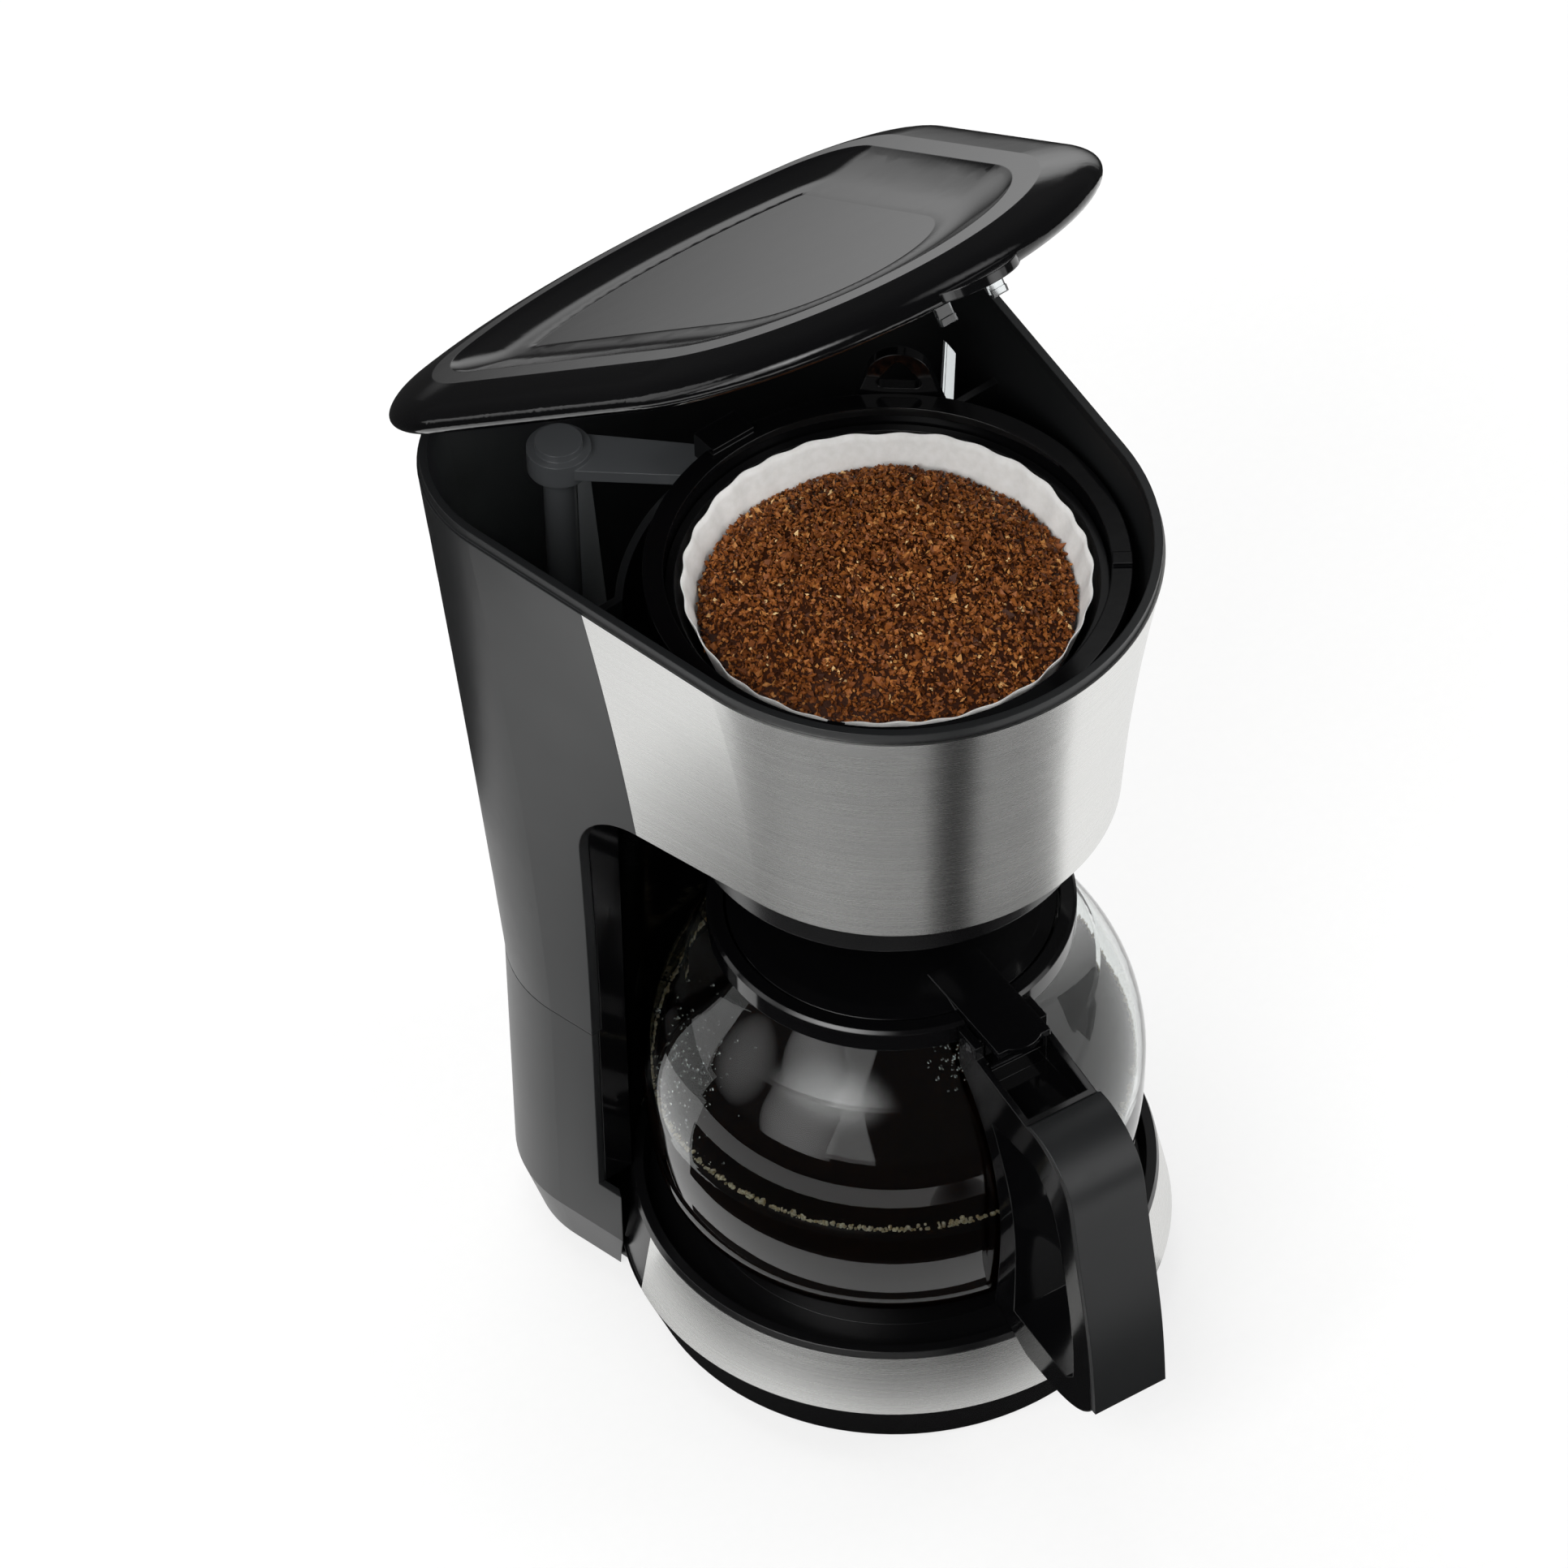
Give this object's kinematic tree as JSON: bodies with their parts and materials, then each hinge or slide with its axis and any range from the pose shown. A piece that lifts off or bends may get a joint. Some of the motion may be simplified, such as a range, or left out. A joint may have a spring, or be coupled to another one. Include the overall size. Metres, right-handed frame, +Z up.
{
  "type": "drip coffee maker",
  "caption": "Black and brushed-steel drip coffee maker: open hinged lid, filter basket with grounds, rear water tank, warming plate and a glass carafe with a D-shaped handle.",
  "frame": {"origin": "where the common axis of the filter basket and carafe meets the counter", "axes": "+Z up along that axis, -Y to the machine's front, +X to the right as seen from the front"},
  "size_m": [0.1936, 0.2716, 0.4452],
  "materials": {
    "satin_black_abs": "satin moulded black ABS",
    "gloss_black_abs": "polished black ABS",
    "black_pp": "moulded black polypropylene",
    "grey_pp": "moulded dark grey polypropylene",
    "brushed_stainless": "horizontal brushed stainless steel",
    "enamelled_plate": "black non-stick coated steel",
    "zinc_steel": "zinc-plated steel",
    "heater_alloy": "extruded aluminium",
    "black_rubber": "moulded rubber",
    "silicone": "translucent silicone",
    "valve_ball_pom": "white acetal",
    "clear_window": "clear polycarbonate",
    "lamp_red": "red lamp lens",
    "switch_black": "black nylon",
    "terminal_white": "white nylon",
    "fuse_ceramic": "ceramic fuse sleeve",
    "borosilicate": "clear blown glass",
    "brewed_coffee": null,
    "filter_paper": "crimped white filter paper",
    "coffee_grounds": null
  },
  "bodies": {
    "machine": {"base_band": "brushed_stainless", "base_cover": "satin_black_abs", "base_shell": "gloss_black_abs", "basket_carrier": "black_pp", "basket_loop": "black_pp", "bay_liner": "gloss_black_abs", "check_valve": "black_pp", "clamp_screw": "zinc_steel", "cold_hose": "silicone", "cord_clamp": "switch_black", "cord_gland": "black_rubber", "cover_screws": "zinc_steel", "drip_spring": "zinc_steel", "element_clamp": "zinc_steel", "funnel_bottom": "gloss_black_abs", "gauge_strip": "grey_pp", "head_band": "brushed_stainless", "heating_element": "heater_alloy", "level_window": "clear_window", "lower_housing": "satin_black_abs", "outlet_arm": "grey_pp", "plate_gasket": "silicone", "plunger_guide": "black_pp", "riser_hose": "silicone", "riser_pipe": "grey_pp", "rubber_feet": "black_rubber", "switch_housing": "switch_black", "switch_lamp": "lamp_red", "tank_strainer": "black_pp", "terminal_block": "terminal_white", "thermal_fuses": "fuse_ceramic", "thermostat": "zinc_steel", "upper_housing": "satin_black_abs", "warming_plate": "enamelled_plate", "water_tube": "heater_alloy"},
    "lid": {"lid_cover": "gloss_black_abs", "lid_liner": "black_pp", "hinge_pin": "zinc_steel", "lid_tab": "gloss_black_abs", "lid_hooks": "clear_window"},
    "carafe": {"carafe_glass": "borosilicate", "brewed_coffee": "brewed_coffee", "carafe_collar": "gloss_black_abs", "carafe_handle": "gloss_black_abs", "handle_strap": "satin_black_abs", "carafe_lid_pin": "zinc_steel"},
    "carafe_lid": {"carafe_lid": "gloss_black_abs"},
    "basket": {"filter_basket": "black_pp", "paper_filter": "filter_paper", "ground_coffee": "coffee_grounds"},
    "drip_stop": {"drip_plunger": "black_pp", "drip_seal": "silicone"},
    "rocker": {"switch_rocker": "switch_black"},
    "valve_ball": {"valve_ball": "valve_ball_pom"}
  },
  "joints": [
    {"name": "lid_hinge", "type": "hinge", "parent": "machine", "child": "lid", "pos_m": [0, 0.133, 0.3106], "axis": [-1, 0, 0], "range_deg": [-36.5, 50]},
    {"name": "carafe_slide", "type": "slide", "parent": "machine", "child": "carafe", "axis": [0, -1, 0], "range_m": [0, 0.2]},
    {"name": "carafe_lid_hinge", "type": "hinge", "parent": "carafe", "child": "carafe_lid", "pos_m": [-0.00627, -0.05967, 0.1518], "axis": [0.9945, -0.1045, 0], "range_deg": [0, 12]},
    {"name": "basket_lift", "type": "slide", "parent": "machine", "child": "basket", "axis": [0, 0, 1], "range_m": [0, 0.06]},
    {"name": "drip_stop_slide", "type": "slide", "parent": "machine", "child": "drip_stop", "axis": [0, 0, 1], "range_m": [0, 0.004], "stiffness_N_per_m": 300, "springref_m": -0.004, "deforming": ["drip_spring"]},
    {"name": "switch_rock", "type": "hinge", "parent": "machine", "child": "rocker", "pos_m": [0.0806, 0.078, 0.062], "axis": [0, -1, 0], "range_deg": [0, 14]},
    {"name": "valve_ball_lift", "type": "slide", "parent": "machine", "child": "valve_ball", "axis": [0, 0, 1], "range_m": [0, 0.003]}
  ]
}
